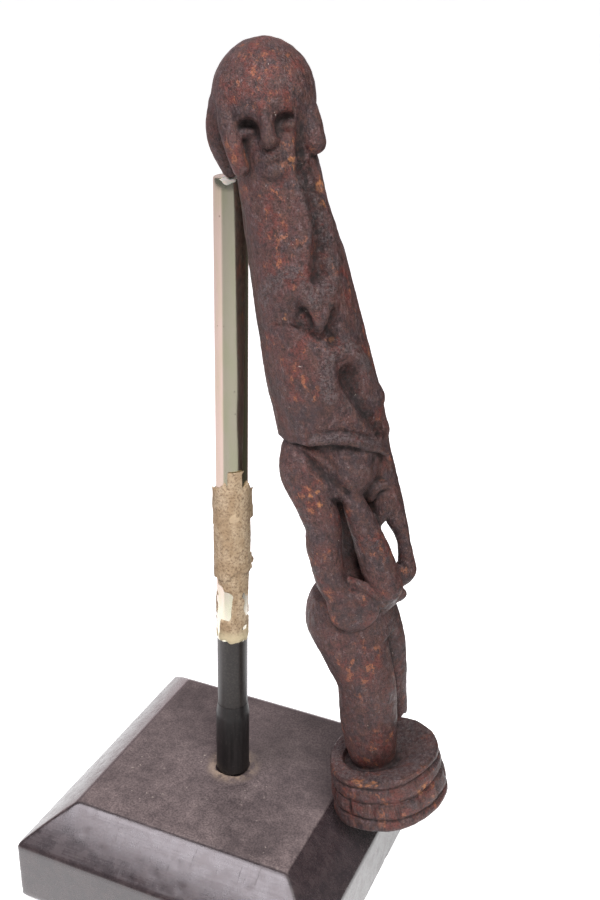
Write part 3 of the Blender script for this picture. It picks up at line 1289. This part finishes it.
def ebonised_look():
    """Black-stained block: dusty on top, scratched and satin on its slopes."""
    look = Look("ebonised_wood")
    up = look.along_z(look.node("ShaderNodeNewGeometry").outputs["Normal"])
    flat_top = look.between(up, 0.93, 0.99)
    slope = look.times(look.between(up, 0.3, 0.6), look.between(up, 0.9, 0.97, 1.0, 0.0))
    stain = look.noise(look.place, 0.075, 4.0, 0.6)
    cloud = look.noise(look.place, 0.35, 5.0, 0.65)
    fine = look.noise(look.place, 2.6, 4.0, 0.7)
    colour = look.mix(look.between(cloud, 0.35, 0.7), BLACK_STAIN, BROWN_STAIN)
    haze = look.between(stain, 0.30, 0.70, 0.45, 1.0)
    haze = look.times(haze, look.between(fine, 0.35, 0.65, 0.30, 1.1))
    haze = look.times(haze, look.between(cloud, 0.3, 0.7, 0.6, 1.0))
    haze = look.times(haze, look.plus(look.times(flat_top, 0.85), 0.10))
    colour = look.mix(haze, colour, BLOCK_DUST)
    from_rod = look.node("ShaderNodeVectorMath", operation="LENGTH")
    look.put(from_rod.inputs[0], look.stretched(look.place, (1.0, 1.0, 0.0)))
    ring = look.between(from_rod.outputs["Value"], SLEEVE_HIGH[0] - 0.2, SLEEVE_HIGH[0] + 3.2, 1.0, 0.0)
    ring = look.times(ring, look.between(look.noise(look.place, 0.4, 3.0), 0.34, 0.6))
    colour = look.mix(look.times(ring, look.times(flat_top, 0.9)), colour, RING_DUST)
    specks = look.between(look.noise(look.place, 1.1, 3.0, 0.6), 0.66, 0.71)
    specks = look.times(specks, look.between(look.noise(look.place, 0.1, 3.0), 0.46, 0.6))
    specks = look.times(specks, look.plus(look.times(flat_top, 0.55), 0.1))
    colour = look.mix(specks, colour, BLOCK_SPECK)
    streaks = look.noise(look.stretched(look.place, (0.06, 2.4, 2.4)), 1.0, 4.0, 0.6)
    scratches = look.noise(look.stretched(look.place, (1.3, 0.08, 0.08)), 1.0, 4.0, 0.7)
    marks = look.times(look.between(scratches, 0.60, 0.68), slope)
    marks = look.times(marks, look.between(look.noise(look.place, 0.09, 2.0), 0.45, 0.6))
    rough = look.between(streaks, 0.3, 0.7, 0.20, 0.26)
    rough = look.plus(rough, look.between(cloud, 0.35, 0.7, 0.0, 0.08))
    rough = look.plus(rough, look.times(flat_top, 0.22))
    rough = look.plus(rough, look.times(marks, 0.25))
    normal = look.bump(fine, 0.03, 0.2)
    look.set(Base_Color=colour, Roughness=rough, Normal=normal, IOR=1.7, Specular_IOR_Level=0.5)
    return look.material


METAL_GREY = (0.640, 0.610, 0.520)
METAL_GREEN = (0.600, 0.600, 0.470)
METAL_SPOT = (0.200, 0.140, 0.110)
PAINT_BLACK = (0.013, 0.010, 0.009)
PAINT_GREY = (0.026, 0.021, 0.018)
PAINT_TOP = TAPE_LOW[2] + 0.8


def rod_look():
    """Drawn bar with long faint streaks; black paint on its lower part, chipped at the top edge."""
    look = Look("rod_metal")
    height = look.along_z(look.place)
    streaks = look.noise(look.stretched(look.place, (1.8, 1.8, 0.02)), 1.0, 4.0, 0.6)
    film = look.noise(look.stretched(look.place, (0.5, 0.5, 0.12)), 1.0, 4.0, 0.6)
    colour = look.mix(look.between(film, 0.38, 0.65), METAL_GREY, METAL_GREEN)
    spots = look.between(look.cells(look.place, 0.4), 0.05, 0.09, 1.0, 0.0)
    colour = look.mix(look.times(spots, 0.5), colour, METAL_SPOT)
    chip = look.times(look.sums("SUBTRACT", look.noise(look.place, 0.9, 4.0, 0.7), 0.5), 2.4)
    painted = look.between(look.plus(height, chip), PAINT_TOP - 0.08, PAINT_TOP + 0.08, 1.0, 0.0)
    black = look.mix(look.between(look.noise(look.place, 2.4, 4.0), 0.4, 0.7), PAINT_BLACK, PAINT_GREY)
    colour = look.mix(painted, colour, black)
    rough = look.between(streaks, 0.3, 0.7, 0.14, 0.24)
    rough = look.plus(rough, look.times(painted, 0.2))
    normal = look.bump(streaks, 0.02, 0.1)
    look.set(Base_Color=colour, Roughness=rough, Normal=normal, Metallic=look.sums("SUBTRACT", 1.0, painted))
    return look.material


SLEEVE_BLACK = (0.007, 0.006, 0.006)
SLEEVE_GREY = (0.016, 0.013, 0.013)
SLEEVE_DUST = (0.070, 0.060, 0.056)


def sleeve_look():
    """Black shrunk tube with a dull lengthwise sheen and a little dust."""
    look = Look("black_sleeve")
    lengthwise = look.noise(look.stretched(look.place, (1.5, 1.5, 0.08)), 1.0, 4.0, 0.6)
    dust = look.between(look.noise(look.place, 1.3, 5.0, 0.7), 0.56, 0.72, 0.0, 0.35)
    colour = look.mix(look.between(lengthwise, 0.35, 0.7), SLEEVE_BLACK, SLEEVE_GREY)
    colour = look.mix(dust, colour, SLEEVE_DUST)
    rough = look.between(lengthwise, 0.3, 0.7, 0.34, 0.46)
    normal = look.bump(look.noise(look.place, 1.6, 4.0), 0.04, 0.3)
    look.set(Base_Color=colour, Roughness=rough, Normal=normal, Specular_IOR_Level=0.35)
    return look.material


TAPE_TAN = (0.390, 0.275, 0.165)
TAPE_CREAM = (0.520, 0.400, 0.270)
TAPE_BROWN = (0.200, 0.130, 0.075)
TAPE_FLAKE = (0.620, 0.470, 0.310)
TAPE_YELLOW = (0.620, 0.530, 0.340)


def tape_look():
    """Dried tape: tan, crumbling, with yellowed cream flakes."""
    look = Look("old_tape")
    height = look.along_z(look.place)
    crumbs = look.noise(look.place, 2.0, 5.0, 0.75)
    drift = look.noise(look.stretched(look.place, (0.4, 0.4, 0.2)), 1.0, 4.0, 0.6)
    colour = look.mix(look.between(drift, 0.36, 0.64), TAPE_TAN, TAPE_CREAM)
    colour = look.mix(look.between(crumbs, 0.46, 0.62, 0.0, 0.85), colour, TAPE_BROWN)
    pale = look.between(look.noise(look.place, 0.3, 3.0), 0.60, 0.68)
    colour = look.mix(look.times(pale, 0.7), colour, TAPE_FLAKE)
    low_end = look.between(height, TAPE_LOW[2] + 1.6, TAPE_LOW[2] + 4.2, 0.8, 0.0)
    colour = look.mix(low_end, colour, TAPE_YELLOW)
    threads = look.noise(look.stretched(look.place, (2.5, 2.5, 0.25)), 1.0, 4.0, 0.6)
    normal = look.bump(crumbs, 0.35, 0.8)
    normal = look.bump(threads, 0.15, 0.6, normal)
    look.set(Base_Color=colour, Roughness=0.82, Normal=normal, Specular_IOR_Level=0.3)
    return look.material


GLUE_WHITE = (0.78, 0.77, 0.70)
GLUE_YELLOW = (0.62, 0.59, 0.50)


def glue_look():
    """Milky dried glue."""
    look = Look("dried_glue")
    cloud = look.noise(look.place, 0.9, 4.0)
    colour = look.mix(look.between(cloud, 0.35, 0.65), GLUE_WHITE, GLUE_YELLOW)
    normal = look.bump(look.noise(look.place, 2.4, 3.0), 0.1, 0.5)
    look.set(Base_Color=colour, Roughness=look.between(cloud, 0.3, 0.7, 0.22, 0.4), Normal=normal)
    look.set(Subsurface_Weight=0.2, Subsurface_Scale=0.4 * MM)
    return look.material


ZINC_PALE = (0.60, 0.60, 0.58)
ZINC_DULL = (0.48, 0.47, 0.44)


def metal_look():
    """Zinc-plated steel, faintly clouded."""
    look = Look("fixing_metal")
    cloud = look.noise(look.place, 1.2, 4.0)
    colour = look.mix(look.between(cloud, 0.35, 0.65), ZINC_PALE, ZINC_DULL)
    look.set(Base_Color=colour, Metallic=1.0, Roughness=look.between(cloud, 0.3, 0.7, 0.25, 0.42))
    look.set(Normal=look.bump(look.noise(look.place, 6.0, 3.0), 0.03, 0.4))
    return look.material


BAIZE_DARK = (0.016, 0.045, 0.026)
BAIZE_PALE = (0.040, 0.085, 0.052)
BAIZE_WORN = (0.075, 0.085, 0.060)


def felt_look():
    """Dark green baize with a short nap."""
    look = Look("base_baize")
    nap = look.noise(look.place, 3.5, 5.0, 0.8)
    worn = look.noise(look.place, 0.12, 3.0)
    colour = look.mix(look.between(nap, 0.35, 0.7), BAIZE_DARK, BAIZE_PALE)
    colour = look.mix(look.between(worn, 0.5, 0.7, 0.0, 0.3), colour, BAIZE_WORN)
    look.set(Base_Color=colour, Roughness=0.95, Sheen_Weight=0.4, Normal=look.bump(nap, 0.25, 0.9))
    return look.material


PAPER_DULL = (0.90, 0.90, 0.90)
PAPER_PALE = (0.93, 0.93, 0.93)


FLOOR_GLOW = 0.06
# what the polished rod mirrors from the far floor: dark to the camera's right, grey towards the camera
DARK_BEARING = np.radians(28.0)
GREY_BEARING = np.radians(-63.0)
MIRRORED_PALE = (0.600, 0.480, 0.490)
MIRRORED_GREY = (0.270, 0.262, 0.240)
MIRRORED_DARK = (0.020, 0.019, 0.012)


def floor_look():
    """Pale paper sweep; far off it shows mirror rays other colours, and it glows to camera rays."""
    look = Look("pale_floor")
    tooth = look.noise(look.place, 0.05, 4.0)
    colour = look.mix(look.between(tooth, 0.3, 0.7), PAPER_DULL, PAPER_PALE)
    level = look.stretched(look.place, (1.0, 1.0, 0.0))
    bearing = look.node("ShaderNodeVectorMath", operation="NORMALIZE")
    look.put(bearing.inputs[0], level)
    away = look.node("ShaderNodeVectorMath", operation="LENGTH")
    look.put(away.inputs[0], level)
    mirrored = look.node("ShaderNodeLightPath").outputs["Is Glossy Ray"]
    far = look.times(look.between(away.outputs["Value"], 90.0, 130.0), mirrored)
    grey = look.times(look.facing(bearing.outputs[0], GREY_BEARING, -0.05, 0.20), far)
    dark = look.times(look.facing(bearing.outputs[0], DARK_BEARING, 0.72, 0.82), far)
    colour = look.mix(far, colour, MIRRORED_PALE)
    colour = look.mix(grey, colour, MIRRORED_GREY)
    colour = look.mix(look.times(dark, 0.97), colour, MIRRORED_DARK)
    seen = look.node("ShaderNodeLightPath").outputs["Is Camera Ray"]
    glow = look.plus(look.times(seen, 0.8), look.times(mirrored, 0.9))
    look.set(Base_Color=colour, Roughness=0.9, Specular_IOR_Level=0.1)
    look.set(Emission_Color=colour, Emission_Strength=look.plus(glow, FLOOR_GLOW))
    return look.material


# ---------------------------------------------------------------- building it
def build_figure():
    """The carving, with what its wood reads at each point."""
    clay = carved_clay()
    points, faces = surface_of(clay)
    weathered, carried = roughened(points, faces, clay)
    piece_points = cleared_of_rod(placed(weathered))
    piece = add_piece("carving", piece_points, faces.tolist(), wood_look(), "carved_figure", "carved_wood")
    carry(piece, "figure_place", points)
    for name, values in carried.items():
        carry(piece, name, values)


def build_stand():
    """Everything that carries the figure; the CAD's screw and washer keep their own shapes."""
    add_piece("display_block", *block_mesh(), ebonised_look(), "base_block", "ebonised_wood")
    add_piece("stand_rod", *rod_mesh(), rod_look(), "support_rod", "rod_metal")
    add_piece("shrunk_sleeve", *sleeve_mesh(), sleeve_look(), "foot_sleeve", "black_sleeve")
    add_piece("torn_tape", *tape_piece_mesh(), tape_look(), "tape_wrap", "old_tape")
    add_piece("glue_run", *glue_mesh(), glue_look(), "head_adhesive", "dried_glue")
    add_piece("baize_pad", *felt_mesh(), felt_look(), "base_felt", "base_baize")
    plated = metal_look()
    for node in ("fixing_screw", "fixing_washer"):
        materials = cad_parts[node].data.materials
        materials.clear()
        materials.append(plated)


# ---------------------------------------------------------------- studio
# lengths in millimetres
CAMERA_PLACE = (92.53, -181.34, 187.97)
CAMERA_YAW = np.radians(-23.303)
CAMERA_DOWN = np.radians(23.696)
CAMERA_ROLL = np.radians(1.295)
CAMERA_LENS = 45.70
CAMERA_FILM = 36.0
FLOOR_HALF = 3000.0
FLOOR_BACK = 2500.0
BACKDROP_TOP = 2500.0
WORLD_LIGHT = 0.17
WHITE = (1.0, 1.0, 1.0)
# name, place, target, (width, height), watts, colour
SOFT_BOXES = (
    ("key", (330, -330, 640), (10, 0, 80), (300, 300), 6.0, WHITE),
    ("slope", (-250, -330, 640), (0, -20, 20), (420, 260), 2.6, (1.0, 0.93, 1.0)),
)


def add_camera():
    """Camera at the photograph's viewing angle."""
    data = bpy.data.cameras.new("camera")
    data.lens = CAMERA_LENS
    data.sensor_fit = "VERTICAL"
    data.sensor_height = CAMERA_FILM
    data.clip_start = 0.01
    data.clip_end = 20.0
    camera = bpy.data.objects.new("camera", data)
    bpy.context.scene.collection.objects.link(camera)
    turn = Matrix.Rotation(-CAMERA_YAW, 4, "Z")
    tilt = Matrix.Rotation(np.pi / 2 - CAMERA_DOWN, 4, "X")
    roll = Matrix.Rotation(CAMERA_ROLL, 4, "Z")
    place = Matrix.Translation([value * MM for value in CAMERA_PLACE])
    camera.matrix_world = place @ turn @ tilt @ roll
    bpy.context.scene.camera = camera


def add_light(name, place, target, size, power, colour):
    """Soft box at a place in millimetres, turned to a target."""
    data = bpy.data.lights.new(name, "AREA")
    data.shape = "RECTANGLE"
    data.size, data.size_y = (value * MM for value in size)
    data.energy = power
    data.color = colour
    light = bpy.data.objects.new(name, data)
    bpy.context.scene.collection.objects.link(light)
    aim = Vector(target) - Vector(place)
    rotation = aim.to_track_quat("-Z", "Y").to_matrix().to_4x4()
    light.matrix_world = Matrix.Translation([value * MM for value in place]) @ rotation


def add_floor():
    """Pale floor, rising into a backdrop far behind."""
    curve = 0.4 * FLOOR_BACK
    flat = FLOOR_BACK * 0.6
    columns = np.linspace(-FLOOR_HALF, FLOOR_HALF, 9)
    rows = [(-FLOOR_HALF, 0.0), (0.0, 0.0), (flat, 0.0)]
    for angle in np.linspace(0.15, np.pi / 2, 8):
        rows.append((flat + curve * np.sin(angle), curve * (1 - np.cos(angle))))
    rows.append((FLOOR_BACK, BACKDROP_TOP))
    points = np.array([(x, y, z) for y, z in rows for x in columns])
    number = np.arange(len(points)).reshape(len(rows), len(columns))
    corners = [number[:-1, :-1], number[:-1, 1:], number[1:, 1:], number[1:, :-1]]
    quads = np.stack(corners, -1).reshape(-1, 4)
    mesh = bpy.data.meshes.new("floor")
    mesh.from_pydata((points * MM).tolist(), [], quads.tolist())
    mesh.polygons.foreach_set("use_smooth", [True] * len(mesh.polygons))
    mesh.materials.append(floor_look())
    floor = bpy.data.objects.new("floor", mesh)
    bpy.context.scene.collection.objects.link(floor)
    floor.matrix_world = Matrix.Rotation(-CAMERA_YAW, 4, "Z")


def set_world():
    """Even, dim white surroundings."""
    world = bpy.data.worlds.new("studio")
    bpy.context.scene.world = world
    world.use_nodes = True
    background = world.node_tree.nodes["Background"]
    background.inputs["Color"].default_value = (*WHITE, 1.0)
    background.inputs["Strength"].default_value = WORLD_LIGHT


build_figure()
build_stand()
add_floor()
set_world()
add_camera()
for soft_box in SOFT_BOXES:
    add_light(*soft_box)
bpy.context.scene.view_settings.view_transform = "Standard"
